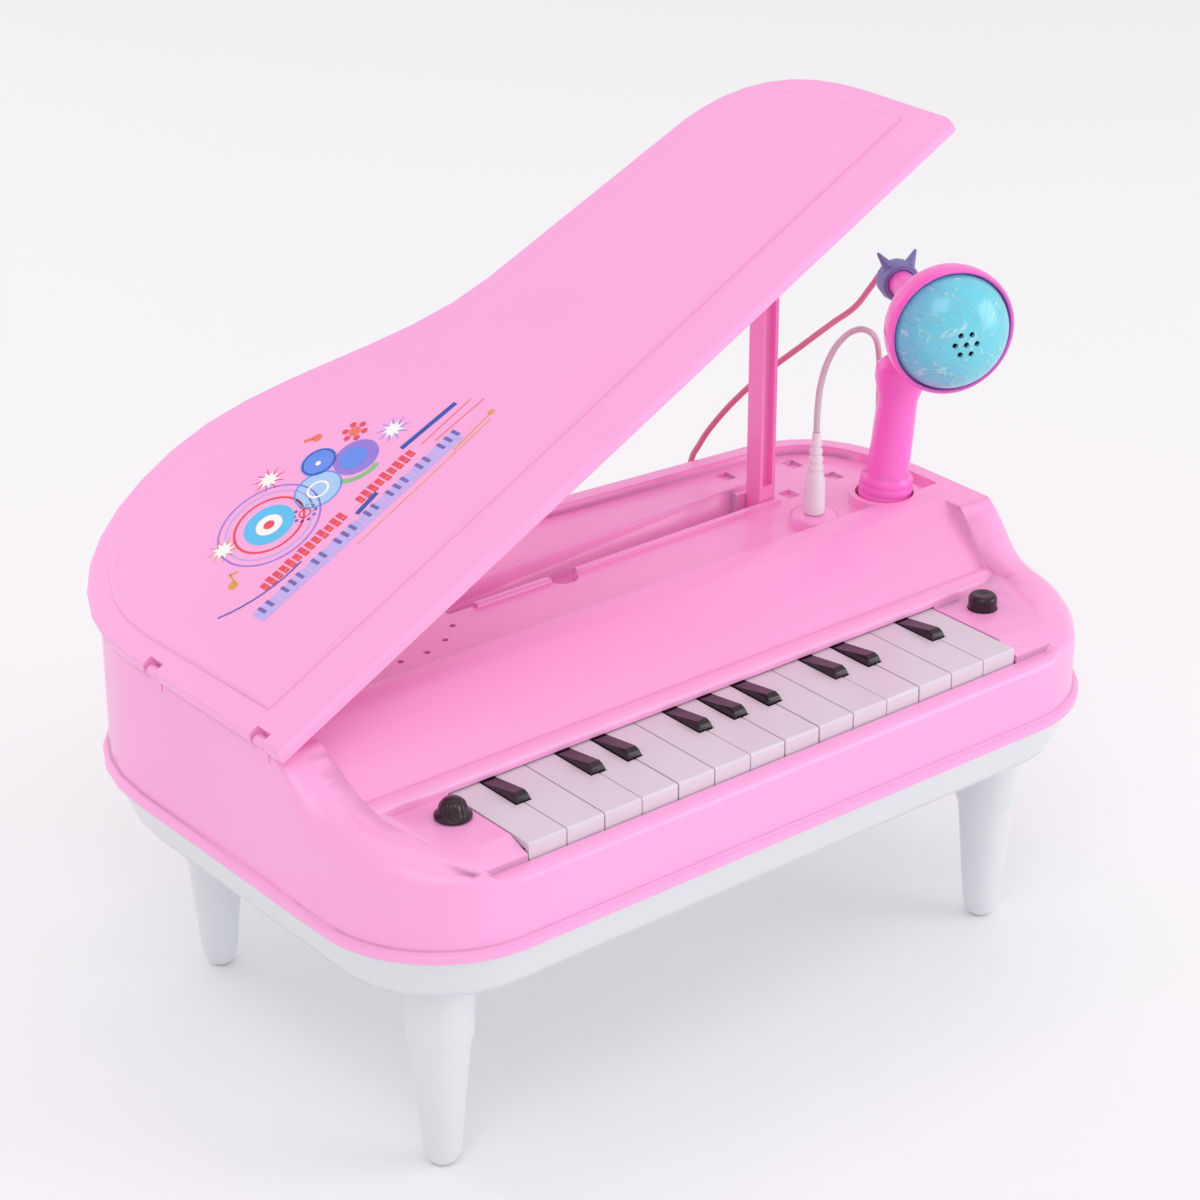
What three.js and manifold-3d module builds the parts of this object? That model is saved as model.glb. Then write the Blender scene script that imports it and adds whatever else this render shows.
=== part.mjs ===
// A child's toy grand piano: a keyboard in a moulded case on four legs, with a propped lid and a
// microphone that plugs in on a thin cord.
// Millimetres. X runs to the player's right, Y to the back and Z up, from the middle of the floor box.
import * as THREE from 'three';
import { mergeVertices } from 'three/addons/utils/BufferGeometryUtils.js';
import Module from 'manifold-3d';

const wasm = await Module();
wasm.setup();

// Case
const GAP = 0.3;
const WALL = 3;
const CASE_HALF = 170;
const CASE_FRONT = -117.9;
const CASE_BACK = 117.9;
const CORNER = 48;
const LIP_OUT = 2.5;
const LIP_Z = [101.5, 105];
const TOP_Z = 158.5;
const ABOVE_TOP = 175;
const ARC_STEPS = 8;
const CAMBER = 0.15;
const ARM_END = -38;
const RIM_ROUND = 2.5;
const ARM_ROUND = 12;
const FRONT_ROUND = 3.5;

// Key bed, fallboard and deck
const KEYBED_Z = 134.5;
const LEDGE_Z = 128.4;
const LEDGE_HALF = 131;
const BED_HALF = 139.5;
const BED_FRONT = -111.1;
const LEDGE_BLEND = -98;
const FALLBOARD_FOOT = -66.9;
const FALLBOARD_TOP = -34.5;
const DECK_FRONT = -20.5;
const DECK_Z = 154.4;
const RIM_WIDTH = 8;

// Base and legs
const BASE_Z = 82.5;
const FLOOR_Z = 85.5;
const BASE_TOP = 101.2;
const LEGS = {
  leg_front_left: [-134, -83],
  leg_front_right: [134, -83],
  leg_back_left: [-122, 78],
  leg_back_right: [126, 29],
};
const LEG_PEG = 8;
const SCREWS = [[-156, -50], [156, -50]];

// Keys
const KEY_PITCH = 16.5;
const KEY_COUNT = 14;
const KEY_GAP = 0.5;
const KEY_FRONT = -110.5;
const PIVOT = [-49, 128];
const AXLE = 1.5;
const BLACK_AFTER = [1, 3, 4, 6, 7, 8, 10, 11, 13];
const BLACK_WIDTH = 6.3;
const BLACK_FRONT = -86.6;
const NOTCH_FRONT = -87.1;
const KEYS_LEFT = -KEY_PITCH * KEY_COUNT / 2;

// Lid and prop
const HINGE = [-170.5, 160.6];
const LID_ANGLE = THREE.MathUtils.degToRad(27.5);
const LID_FRONT = -50;
const LID_BOTTOM = 158.8;
const LID_PLATE = [161.7, 164.2];
const PANEL_RISE = 1.2;
const HINGE_SPANS = [[-39, -33], [28, 34]];
const PROP = { x: 102, y: 18, pivotZ: 152, half: 4 };

// Controls and microphone
const KNOB_AT = [-124, -80];
const BUTTON_AT = [131, -78];
const PLUG_AT = [103.4, -11.8];
const STAND_AT = [140, -13];
const STAND_FOOT = new THREE.Vector3(...STAND_AT, 155.6);
const STAND_TOP = new THREE.Vector3(145.4, -14, 206);
const MIC_HEAD = new THREE.Vector3(141.5, -44, 235);
const MIC_TAIL = new THREE.Vector3(167.7, 16.6, 235);
const HANDLE = 5.3;
const SPEAKER_AT = [-86, 27];

// Cord: a thin lead from the plug over the rim to a coil on the floor, and up again to the microphone
const CORD = 1.25;
const CORD_STEP = 9;
const COIL_AT = [138, 92];
const COIL_RADIUS = 14;
const COIL_SECTION = 2.7;
const TIE_BAND = 0.6;
const COIL_HEIGHT = COIL_SECTION + GAP + TIE_BAND;
const CORD_FROM_PLUG = [
  [103.4, -11.8, 193.3], [104.2, -11.2, 203], [107.5, -9.5, 213], [114, -7.3, 221], [122.5, -4.8, 225],
  [132, -2, 225.2], [141.5, 1.5, 221.5], [150, 5.5, 215], [155.5, 9, 206], [159.8, 12.5, 190.5],
  [163.5, 16, 176], [166.6, 18.8, 165.5], [170, 20.5, 160.5], [172.9, 21.6, 153], [173.4, 22.8, 98],
  [173.2, 24.2, 50], [173, 25.4, 26], [172.5, 28, 10], [171, 34, 2.8], [168.5, 43, 1.6], [159.4, 64.5, 1.5],
  [153.4, 82, 1.6],
];
const CORD_TO_MIC = [
  [122.8, 82, 1.6], [121.4, 76.5, 2.4], [117.6, 72.4, 5.2], [113.6, 70.4, 12], [111.4, 69, 22],
  [108.5, 67, 58], [107, 66.2, 105], [105.6, 65.2, 148], [105, 62.8, 157.5], [105.4, 59.4, 163.5],
  [108.2, 55.8, 171.5], [121, 46, 190], [140.5, 32.6, 209], [150, 30, 214.5], [159, 27, 220],
  [166, 25.4, 227.5], [168.8, 22.4, 233.4], [168.1, 17.6, 235],
];

const UP = new THREE.Vector3(0, 0, 1);

// ---- solids ----

function closedMesh(geometry) {
  const bare = geometry.clone();
  bare.deleteAttribute('normal');
  bare.deleteAttribute('uv');
  const merged = mergeVertices(bare, 1e-4);
  const position = merged.attributes.position;
  const index = Array.from(merged.index.array);
  const corner = [new THREE.Vector3(), new THREE.Vector3(), new THREE.Vector3()];
  const kept = [];
  let volume = 0;
  for (let i = 0; i < index.length; i += 3) {
    const triple = index.slice(i, i + 3);
    if (new Set(triple).size < 3) {
      continue;
    }
    kept.push(...triple);
    triple.forEach((vertex, k) => corner[k].fromBufferAttribute(position, vertex));
    volume += corner[0].dot(corner[1].clone().cross(corner[2]));
  }
  if (volume < 0) {
    kept.reverse();
  }
  return { vertProperties: new Float32Array(position.array), triVerts: new Uint32Array(kept) };
}

function solid(geometry) {
  return new wasm.Manifold(new wasm.Mesh({ numProp: 3, ...closedMesh(geometry) }));
}

function surface(manifold) {
  const { vertProperties, triVerts } = manifold.getMesh();
  const geometry = new THREE.BufferGeometry();
  geometry.setAttribute('position', new THREE.BufferAttribute(vertProperties, 3));
  geometry.setIndex(new THREE.BufferAttribute(triVerts, 1));
  geometry.computeVertexNormals();
  return geometry;
}

function join(first, ...rest) {
  return rest.reduce((sum, next) => sum.add(next), first);
}

function cut(first, ...tools) {
  return tools.reduce((left, tool) => left.subtract(tool), first);
}

function block(x0, x1, y0, y1, z0, z1) {
  const geometry = new THREE.BoxGeometry(x1 - x0, y1 - y0, z1 - z0);
  geometry.translate((x0 + x1) / 2, (y0 + y1) / 2, (z0 + z1) / 2);
  return solid(geometry);
}

function between(start, end, startRadius, endRadius, sides) {
  const along = end.clone().sub(start);
  const geometry = new THREE.CylinderGeometry(endRadius, startRadius, along.length(), sides);
  const axis = new THREE.Vector3(0, 1, 0);
  const turn = new THREE.Quaternion().setFromUnitVectors(axis, along.clone().normalize());
  geometry.applyQuaternion(turn);
  geometry.translate(...start.clone().add(end).divideScalar(2));
  return solid(geometry);
}

function rod(x, y, z0, z1, radius, sides = 12) {
  return between(new THREE.Vector3(x, y, z0), new THREE.Vector3(x, y, z1), radius, radius, sides);
}

function rodAlongX(x0, x1, y, z, radius, sides = 10) {
  return between(new THREE.Vector3(x0, y, z), new THREE.Vector3(x1, y, z), radius, radius, sides);
}

function rodAlongY(x, y0, y1, z, radius, sides = 10) {
  return between(new THREE.Vector3(x, y0, z), new THREE.Vector3(x, y1, z), radius, radius, sides);
}

function extruded(shape, depth, curveSegments = 4) {
  return new THREE.ExtrudeGeometry(shape, { depth, bevelEnabled: false, curveSegments });
}

function shapeOf(pairs) {
  return new THREE.Shape(pairs.map(([a, b]) => new THREE.Vector2(a, b)));
}

// A side view, in Y and Z, drawn out along X
function acrossX(shape, x0, x1, curveSegments) {
  const geometry = extruded(shape, x1 - x0, curveSegments);
  const turn = new THREE.Matrix4().makeBasis(new THREE.Vector3(0, 1, 0), UP, new THREE.Vector3(1, 0, 0));
  geometry.applyMatrix4(turn);
  geometry.translate(x0, 0, 0);
  return solid(geometry);
}

// A front view, in X and Z, drawn out along Y
function alongY(shape, y0, y1) {
  const geometry = extruded(shape, y1 - y0);
  geometry.rotateX(Math.PI / 2);
  geometry.translate(0, y1, 0);
  return solid(geometry);
}

// A profile of radius and height, turned about Z
function turned(profile, sides) {
  const points = profile.map(([radius, height]) => new THREE.Vector2(radius, height));
  const geometry = new THREE.LatheGeometry(points, sides);
  geometry.rotateX(Math.PI / 2);
  return geometry;
}

function turnedAt(profile, sides, x, y) {
  return solid(turned(profile, sides).translate(x, y, 0));
}

// An outline moved outward by a distance, with its corners mitred
function offset(outline, distance) {
  return outline.map((point, i) => {
    const before = outline[(i + outline.length - 1) % outline.length];
    const after = outline[(i + 1) % outline.length];
    const inward = point.clone().sub(before).normalize();
    const onward = after.clone().sub(point).normalize();
    const first = new THREE.Vector2(inward.y, -inward.x);
    const second = new THREE.Vector2(onward.y, -onward.x);
    const reach = distance(point) / (1 + first.dot(second));
    return point.clone().add(first.add(second).multiplyScalar(reach));
  });
}

// A stack of rings on one outline: each ring gives every point its own offset and height
function stacked(outline, rings) {
  const levels = rings.length - 1;
  const shape = new THREE.Shape(outline);
  const geometry = new THREE.ExtrudeGeometry(shape, { depth: levels, steps: levels, bevelEnabled: false });
  const moved = rings.map((ring) => offset(outline, ring.out));
  const position = geometry.attributes.position;
  const here = new THREE.Vector2();
  for (let i = 0; i < position.count; i += 1) {
    const ring = Math.round(position.getZ(i));
    here.set(position.getX(i), position.getY(i));
    const place = outline.findIndex((point) => point.distanceTo(here) < 0.005);
    const point = moved[ring][place];
    position.setXYZ(i, point.x, point.y, rings[ring].height(outline[place], place));
  }
  return solid(geometry);
}

function level(out, height) {
  return { out: () => out, height: () => height };
}

function moulding(colour, roughness = 0.35, metalness = 0) {
  return new THREE.MeshStandardMaterial({ color: colour, roughness, metalness });
}

const MATERIAL = {
  pink: moulding('#ffb4ea', 0.32),
  hotPink: moulding('#ff5fb8', 0.3),
  white: moulding('#e6e4ee', 0.3),
  keyWhite: moulding('#efe9ef', 0.25),
  keyBlack: moulding('#1c1018', 0.2),
  turquoise: moulding('#7fd6e6', 0.18),
  greyViolet: moulding('#8a86b8', 0.35),
  cord: moulding('#d9c3cf', 0.5),
  rubber: moulding('#3a3a40', 0.8),
  steel: moulding('#b9bcc2', 0.3, 1),
  board: moulding('#8a6a3a', 0.6),
  paperCone: moulding('#26262a', 0.8),
  battery: moulding('#3c7a4a', 0.4),
};

const piano = new THREE.Group();

function add(name, manifold, material, parent = piano) {
  const mesh = new THREE.Mesh(surface(manifold), material);
  mesh.name = name;
  parent.add(mesh);
  return mesh;
}

// ---- case ----

function planOutline() {
  const shape = new THREE.Shape();
  const cornerX = CASE_HALF - CORNER;
  const cornerY = CASE_FRONT + CORNER;
  shape.moveTo(-cornerX, CASE_FRONT);
  shape.lineTo(cornerX, CASE_FRONT);
  shape.absarc(cornerX, cornerY, CORNER, -Math.PI / 2, 0);
  shape.bezierCurveTo(CASE_HALF + CAMBER, -60, CASE_HALF + CAMBER, -48, CASE_HALF, ARM_END);
  shape.lineTo(CASE_HALF, -4);
  shape.bezierCurveTo(CASE_HALF, 36, 155, 53, 130, 57);
  shape.lineTo(30, 66);
  shape.bezierCurveTo(-15, 70, -50, CASE_BACK, -95, CASE_BACK);
  shape.bezierCurveTo(-140, CASE_BACK, -CASE_HALF, 91, -CASE_HALF, 46);
  shape.lineTo(-CASE_HALF, ARM_END);
  shape.bezierCurveTo(-CASE_HALF - CAMBER, -48, -CASE_HALF - CAMBER, -60, -CASE_HALF, cornerY);
  shape.absarc(-cornerX, cornerY, CORNER, Math.PI, Math.PI * 1.5);
  const points = shape.getPoints(ARC_STEPS);
  return points.filter((point, i) => i === 0 || point.distanceTo(points[i - 1]) > 0.01).slice(0, -1);
}

const OUTLINE = planOutline();

// The arms' top line from the front ledge up to the rim, in Y and Z
const ARM_LINE = new THREE.SplineCurve([
  [-130, 124.5], [-111, 131], [-95, 136.4], [-79, 139],
  [-68, 141], [-58, 145.5], [-49, 153.5], [-42.5, TOP_Z],
].map(([y, z]) => new THREE.Vector2(y, z))).getPoints(16);

function armHeight(y) {
  const last = ARM_LINE.length - 1;
  if (y >= ARM_LINE[last].x) {
    return TOP_Z;
  }
  const next = Math.max(1, ARM_LINE.findIndex((point) => point.x > y));
  const from = ARM_LINE[next - 1];
  const to = ARM_LINE[next];
  return THREE.MathUtils.mapLinear(y, from.x, to.x, from.y, to.y);
}

function ledgeHeight(x) {
  return LEDGE_Z + Math.max(0, Math.abs(x) - LEDGE_HALF) * 0.85;
}

function edgeHeight(point) {
  return point.y < LEDGE_BLEND ? Math.min(armHeight(point.y), ledgeHeight(point.x)) : armHeight(point.y);
}

function edgeRound(point) {
  const onArm = 1 - THREE.MathUtils.smoothstep(point.y, -66, -40);
  const atSide = THREE.MathUtils.smoothstep(Math.abs(point.x), 138, 160);
  const arm = THREE.MathUtils.lerp(FRONT_ROUND, ARM_ROUND, atSide);
  return THREE.MathUtils.lerp(RIM_ROUND, arm, onArm);
}

// The outside walls with their rounded upper edge; grow makes the same form smaller for the hollow
function walls(grow, bottom) {
  const rings = [level(-grow, bottom)];
  const inner = offset(OUTLINE, (point) => -grow - edgeRound(point));
  for (const angle of grow > 0 ? [0, 90] : [0, 22.5, 45, 67.5, 90]) {
    const across = 1 - Math.cos(THREE.MathUtils.degToRad(angle));
    const down = 1 - Math.sin(THREE.MathUtils.degToRad(angle));
    rings.push({
      out: (point) => -grow - edgeRound(point) * across,
      height: (point, place) => edgeHeight(inner[place]) - grow - edgeRound(point) * down,
    });
  }
  rings.push({ out: (point) => -grow - edgeRound(point), height: () => ABOVE_TOP });
  return stacked(OUTLINE, rings);
}

function armCeiling(grow) {
  const line = ARM_LINE.map((point) => [point.x, point.y - grow]);
  const far = 140;
  line.reverse();
  const under = [[-far, 60], [far, 60], [far, TOP_Z - grow], ...line, [-far, line.at(-1)[1]]];
  return acrossX(shapeOf(under), -200, 200);
}

// Air above the key bed, in front of the fallboard
function keybedAir(grow) {
  const side = BED_HALF + grow;
  const floor = KEYBED_Z - grow;
  const front = shapeOf([
    [-side, floor], [side, floor], [side + 9, floor + 5],
    [side + 16.5, ABOVE_TOP], [-side - 16.5, ABOVE_TOP], [-side - 9, floor + 5],
  ]);
  const foot = FALLBOARD_FOOT + grow;
  const rise = ABOVE_TOP - TOP_Z;
  const slope = (FALLBOARD_TOP - FALLBOARD_FOOT - 6.3) / (TOP_Z - 139.6);
  const faceEnd = FALLBOARD_TOP + grow * 0.57 + slope * rise;
  const profile = shapeOf([
    [BED_FRONT - grow, floor - 0.01], [foot, floor - 0.01],
    [foot, 137.4 - grow * 0.4], [foot + 1, 139.4 - grow * 0.6],
    [foot + 3.2 - grow * 0.3, 140.4 - grow], [foot + 5.3 - grow * 0.5, 140.2 - grow],
    [foot + 6.3 - grow * 0.43, 139.6 - grow * 0.82],
    [faceEnd, ABOVE_TOP - grow * 0.82], [BED_FRONT - grow, ABOVE_TOP],
  ]);
  return alongY(front, -140, 20).intersect(acrossX(profile, -200, 200));
}

// Air above the front ledge, with sloped ends that run out into the rounded corners
function ledgeAir(grow) {
  const floor = LEDGE_Z - grow;
  const side = LEDGE_HALF + grow;
  const reach = (ABOVE_TOP - floor) / 0.85;
  const corners = [[-side, floor], [side, floor], [side + reach, ABOVE_TOP], [-side - reach, ABOVE_TOP]];
  return alongY(shapeOf(corners), -140, BED_FRONT - grow);
}

function deckAir(grow) {
  const area = stacked(OUTLINE, [level(grow - RIM_WIDTH, DECK_Z - grow), level(grow - RIM_WIDTH, ABOVE_TOP)]);
  return area.intersect(block(-200, 200, DECK_FRONT - grow, 200, 100, 200));
}

function troughAir(grow) {
  return block(-55 - grow, 106.4 + grow, 13.4 - grow, 27 + grow, 146 - grow, ABOVE_TOP);
}

function caseForm(grow, bottom) {
  const solidForm = walls(grow, bottom).intersect(armCeiling(grow));
  return cut(solidForm, keybedAir(grow), ledgeAir(grow), deckAir(grow), troughAir(grow));
}

function speakerHoles() {
  const holes = [];
  for (const [ring, count] of [[0, 1], [12, 6], [23, 12], [34, 18]]) {
    for (let i = 0; i < count; i += 1) {
      const angle = (i / count) * Math.PI * 2;
      const x = SPEAKER_AT[0] + ring * Math.cos(angle);
      const y = SPEAKER_AT[1] + ring * Math.sin(angle);
      holes.push(rod(x, y, 150, 156, 1.4, 6));
    }
  }
  return join(...holes);
}

function deckDetails() {
  const ridgeBack = block(-44, 106.4, 27, 30, 151.5, 157.4);
  const ridgeFront = block(-44, 106.4, 10.8, 13.4, 151.5, 156);
  const propBoss = block(94, 106.4, 22.4, 28, 144, 157.4);
  const plugBoss = turnedAt([[0, 151.5], [9.5, 151.5], [9.5, TOP_Z], [7, 159], [0, 159]], 20, ...PLUG_AT);
  const standBoss = rod(...STAND_AT, 151.5, TOP_Z, 14, 24);
  return join(ridgeBack, ridgeFront, propBoss, plugBoss, standBoss);
}

function hingeLugs() {
  const lugs = HINGE_SPANS.map(([y0, y1]) => join(
    rodAlongY(HINGE[0], y0, y1, HINGE[1], 2, 12),
    block(HINGE[0] + 0.1, HINGE[0] + 2.3, y0, y1, 154, HINGE[1]),
  ));
  return join(...lugs);
}

function upperShell() {
  const [lipFrom, lipTo] = LIP_Z;
  const lip = stacked(OUTLINE, [
    level(LIP_OUT, lipFrom), level(LIP_OUT, lipTo - 1), level(LIP_OUT - 1, lipTo), level(-1, lipTo + 0.6),
  ]);
  const outside = join(caseForm(0, LIP_Z[0]), lip, deckDetails());
  const bosses = SCREWS.map(([x, y]) => rod(x, y, 85.9, 156, 4, 10).intersect(caseForm(0, 80)));
  const brackets = [-1, 1].map((side) => block(
    Math.min(side * 117.2, side * 121.2), Math.max(side * 117.2, side * 121.2),
    PIVOT[0] - 4, PIVOT[0] + 4, 123.5, 150,
  ).intersect(caseForm(0, 80)));
  const propRoom = join(
    block(-55, 106.4, 14 - GAP * 2, 22.4, 146, ABOVE_TOP),
    rodAlongY(PROP.x, 11.2, 25, PROP.pivotZ, 1.8),
  );
  const fingerDip = rod(-3, 12.6, 149, ABOVE_TOP, 6.5, 16);
  const slots = [[104, 41], [133, 33], [138, 14], [112, 12]].map(([x, y]) => (
    block(x, x + 6, y, y + 7, 152.8, ABOVE_TOP)
  ));
  const keyOpening = block(-116.2, 116.2, BED_FRONT, -60, 90, 135.3);
  const pinHoles = HINGE_SPANS.map(([y0, y1]) => rodAlongY(HINGE[0], y0 - 1, y1 + 1, HINGE[1], 1.2, 8));
  const hinges = cut(hingeLugs(), ...pinHoles);
  return cut(
    join(cut(outside, caseForm(WALL, 80)), ...bosses, ...brackets, hinges),
    keyOpening, propRoom, fingerDip, speakerHoles(), ...slots,
    ...SCREWS.map(([x, y]) => rod(x, y, 80, 101, 1.7, 8)),
    rodAlongX(-119.6, 119.6, ...PIVOT, 1.8),
    rod(...KNOB_AT, 125, 140, 3.2), rod(...BUTTON_AT, 125, 140, 5.9, 16),
    rod(...PLUG_AT, 150, 162, 2.3), rod(...STAND_AT, 154, 162, 11.7, 24), rod(...STAND_AT, 140, 156, 5.4),
  );
}

function baseForm() {
  return stacked(OUTLINE, [
    level(-8.5, BASE_Z), level(-6.2, BASE_Z + 1.2), level(-5, BASE_Z + 4), level(0.7, BASE_TOP),
  ]);
}

function baseTray() {
  const sockets = Object.values(LEGS).map(([x, y]) => rod(x, y, 84, 94, 11, 16));
  const posts = [[-90, -85], [90, -85], [-90, -64], [90, -64]].map(([x, y]) => rod(x, y, 84, 114.2, 3, 8));
  const batteryBox = block(-35.2, 35.2, -25.2, 34.2, 84, 104.5);
  const inside = stacked(OUTLINE, [level(-8, FLOOR_Z), level(0.7 - WALL, BASE_TOP + 1)]);
  const tray = join(cut(baseForm(), inside), ...sockets, ...posts, batteryBox);
  return cut(
    tray,
    block(-33, 33, -23, 32, FLOOR_Z, 102.5),
    block(-31.4, 31.4, -22.4, 30.4, 80, FLOOR_Z + 0.1),
    rodAlongX(-33.4, 33.4, -20.5, 84, 1.2, 8),
    ...Object.values(LEGS).map(([x, y]) => rod(x, y, 80, 92.4, LEG_PEG + GAP, 16)),
    ...SCREWS.map(([x, y]) => join(rod(x, y, 80, 84.2, 3.4), rod(x, y, 80, 88, 1.8, 8))),
  );
}

function leg() {
  return [
    [0, 0], [2.4, 0], [4.9, 1.5], [6.4, 4.2], [7.2, 9], [10.9, 50], [12.1, 54],
    [12.6, 81.2], [11.8, 82.2], [LEG_PEG, 82.2], [LEG_PEG, 92], [0, 92],
  ];
}

function screw() {
  return [[0, 82.8], [2.8, 82.8], [3, 83.2], [3, 83.9], [1.4, 83.9], [1.4, 98], [0, 99.5]];
}

// ---- keys ----

// Top of the key from its back end to its front, then the front down to its lower edge, in Y and Z
function keyShape(topLine, frontBottom, skirt) {
  const [pivotY, pivotZ] = PIVOT;
  const under = 131.7;
  const front = topLine.at(-1)[0];
  const shape = shapeOf([
    ...topLine, [front, frontBottom], [front + skirt, frontBottom], [front + skirt, under],
    [-77, under], [-76.5, 123.8], [-72.5, 123.8], [-72, under], [pivotY - 4, under], [pivotY - 4, pivotZ],
  ]);
  shape.absarc(pivotY, pivotZ, 4, Math.PI, Math.PI * 2);
  const hole = new THREE.Path();
  hole.absarc(pivotY, pivotZ, 1.9, 0, Math.PI * 2);
  shape.holes.push(hole);
  return shape;
}

function whiteKey(number) {
  const left = KEYS_LEFT + (number - 1) * KEY_PITCH;
  const top = [[PIVOT[0] + 4, KEYBED_Z], [KEY_FRONT + 0.6, KEYBED_Z], [KEY_FRONT, KEYBED_Z - 0.6]];
  const shape = keyShape(top, 126, 2.2);
  const plain = acrossX(shape, left + KEY_GAP / 2, left + KEY_PITCH - KEY_GAP / 2, 4);
  const notch = BLACK_WIDTH / 2 + 0.4;
  const boundaries = BLACK_AFTER.filter((after) => after === number || after === number - 1);
  return cut(plain, ...boundaries.map((after) => {
    const x = KEYS_LEFT + after * KEY_PITCH;
    return block(x - notch, x + notch, NOTCH_FRONT, -30, 100, 150);
  }));
}

function blackKey(after) {
  const x = KEYS_LEFT + after * KEY_PITCH;
  const top = [
    [PIVOT[0] + 4, 134.2], [-67.5, 134.8], [BLACK_FRONT + 2.4, 137.7], [BLACK_FRONT + 0.6, 136.7],
    [BLACK_FRONT, 134.9],
  ];
  const plain = acrossX(keyShape(top, 129, 2), x - BLACK_WIDTH / 2, x + BLACK_WIDTH / 2, 4);
  const half = BLACK_WIDTH / 2;
  const roof = alongY(shapeOf([
    [x - half, 100], [x + half, 100], [x + half, 135],
    [x + half - 0.9, 138], [x - half + 0.9, 138], [x - half, 135],
  ]), -100, -30);
  return plain.intersect(roof);
}

function contactStrip() {
  const profile = shapeOf([
    [-80, 116.4], [-69, 116.4], [-69, 118], [-72, 118.4], [-73, 121], [-76, 121], [-77, 118.4], [-80, 118],
  ]);
  return acrossX(profile, -114, 114);
}

function circuitBoard() {
  return block(-131, 138, -90, -60, 114.5, 116.1);
}

// ---- controls ----

function volumeKnob() {
  return turnedAt([
    [0, 118.5], [2.5, 118.5], [2.5, 134.8], [6.7, 134.8], [6.7, 136],
    [5.3, 136.9], [4.9, 139], [3.6, 141], [1.6, 142], [0, 142.2],
  ], 16, ...KNOB_AT);
}

function potentiometer() {
  const [x, y] = KNOB_AT;
  return cut(block(x - 5.5, x + 5.5, y - 6, y + 6, 116.4, 125), rod(x, y, 118, 126, 2.8));
}

function powerButton() {
  const profile = [
    [0, 124.6], [4.5, 124.6], [4.5, 129.4], [6.9, 129.4], [6.9, 131], [5.5, 131], [5.5, 139.4], [4.5, 140.4],
    [0, 140.4],
  ];
  return turnedAt(profile, 16, ...BUTTON_AT);
}

function powerSwitch() {
  const [x, y] = BUTTON_AT;
  return join(block(x - 5, x + 5, y - 5, y + 5, 116.4, 120.5), rod(x, y, 120, 122.2, 2.2));
}

function jackSocket() {
  return cut(rod(...PLUG_AT, 138, 151.1, 6, 12), rod(...PLUG_AT, 139.5, 152, 2.1));
}

function jackPlug() {
  const ribs = [];
  for (let i = 0; i < 4; i += 1) {
    const z = 176 + i * 3.6;
    const radius = 3.4 - i * 0.3;
    ribs.push([radius, z], [radius - 0.5, z + 0.8], [radius - 0.5, z + 2.8]);
  }
  return turnedAt([
    [0, 141], [1.3, 142], [1.75, 144], [1.75, 159.3], [4, 159.3],
    [4.2, 162], [4, 174], ...ribs, [1.9, 191], [1.7, 193], [0, 193],
  ], 10, ...PLUG_AT);
}

// ---- speaker and batteries ----

function speaker() {
  return turnedAt([
    [0, 128], [12, 128], [12, 136], [14, 137], [24, 147],
    [26, 147.5], [26, 151], [23, 151], [8, 143], [5, 145], [0, 146],
  ], 16, ...SPEAKER_AT);
}

function battery(x) {
  const profile = [[0, 0], [6.6, 0], [7.2, 0.6], [7.2, 48.4], [6.6, 49], [2.7, 49], [2.7, 50.3], [0, 50.3]];
  const geometry = turned(profile, 12);
  geometry.rotateX(-Math.PI / 2);
  geometry.translate(x, -22, 93.2);
  return solid(geometry);
}

function batteryContacts() {
  const nubs = [-15, 0, 15].map((x) => (
    between(new THREE.Vector3(x, 30.2, 93.2), new THREE.Vector3(x, 28.8, 93.2), 3.6, 2, 8)
  ));
  return join(block(-22, 22, 29.8, 31, 87, 99.5), ...nubs);
}

function batteryDoor() {
  const shape = new THREE.Shape();
  shape.moveTo(-20.5, 82.65);
  shape.lineTo(30, 82.65);
  shape.lineTo(30, 85.2);
  shape.lineTo(-20.5, 85.35);
  shape.absarc(-20.5, 84, 1.35, Math.PI / 2, Math.PI * 1.5);
  return join(acrossX(shape, -31, 31, 4), rodAlongX(-33, 33, -20.5, 84, 0.9, 8));
}

// ---- lid and prop, drawn closed and turned up about the hinge ----

function lidOutline(out) {
  const edge = offset(OUTLINE, () => LIP_OUT).filter((point) => point.y > LID_FRONT + 5);
  const half = CASE_HALF + LIP_OUT;
  const front = [[-half, LID_FRONT], [half - 2, LID_FRONT], [half, LID_FRONT + 4]];
  const outline = [...front.map(([x, y]) => new THREE.Vector2(x, y)), ...edge];
  return offset(outline, () => out);
}

function panelOutline() {
  const front = LID_FRONT + 20;
  const inner = offset(OUTLINE, () => LIP_OUT - 10).filter((point) => point.y > front + 4);
  return [new THREE.Vector2(-161, front), new THREE.Vector2(164, front), ...inner];
}

function lidSolid() {
  const [plateBottom, plateTop] = LID_PLATE;
  const skin = stacked(lidOutline(0), [
    level(-0.8, LID_BOTTOM), level(0, LID_BOTTOM + 0.8), level(0, plateTop - 2),
    level(-0.7, plateTop - 0.6), level(-2.2, plateTop),
  ]);
  const hollow = stacked(lidOutline(-5), [level(0, LID_BOTTOM - 5), level(0, plateBottom)]);
  const panel = stacked(panelOutline(), [
    level(0, plateTop - 0.5), level(-0.4, plateTop + PANEL_RISE * 0.6), level(-1.6, plateTop + PANEL_RISE),
  ]);
  const hingeNotches = HINGE_SPANS.map(([y0, y1]) => (
    block(-180, HINGE[0] + 3, y0 - 1, y1 + 1, LID_BOTTOM - 5, plateTop + 5)
  ));
  const bores = HINGE_SPANS.map(([y0, y1]) => rodAlongY(HINGE[0], y0 - 3.6, y1 + 3.6, HINGE[1], 1.2, 8));
  return cut(join(cut(skin, hollow), panel), ...hingeNotches, ...bores);
}

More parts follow.
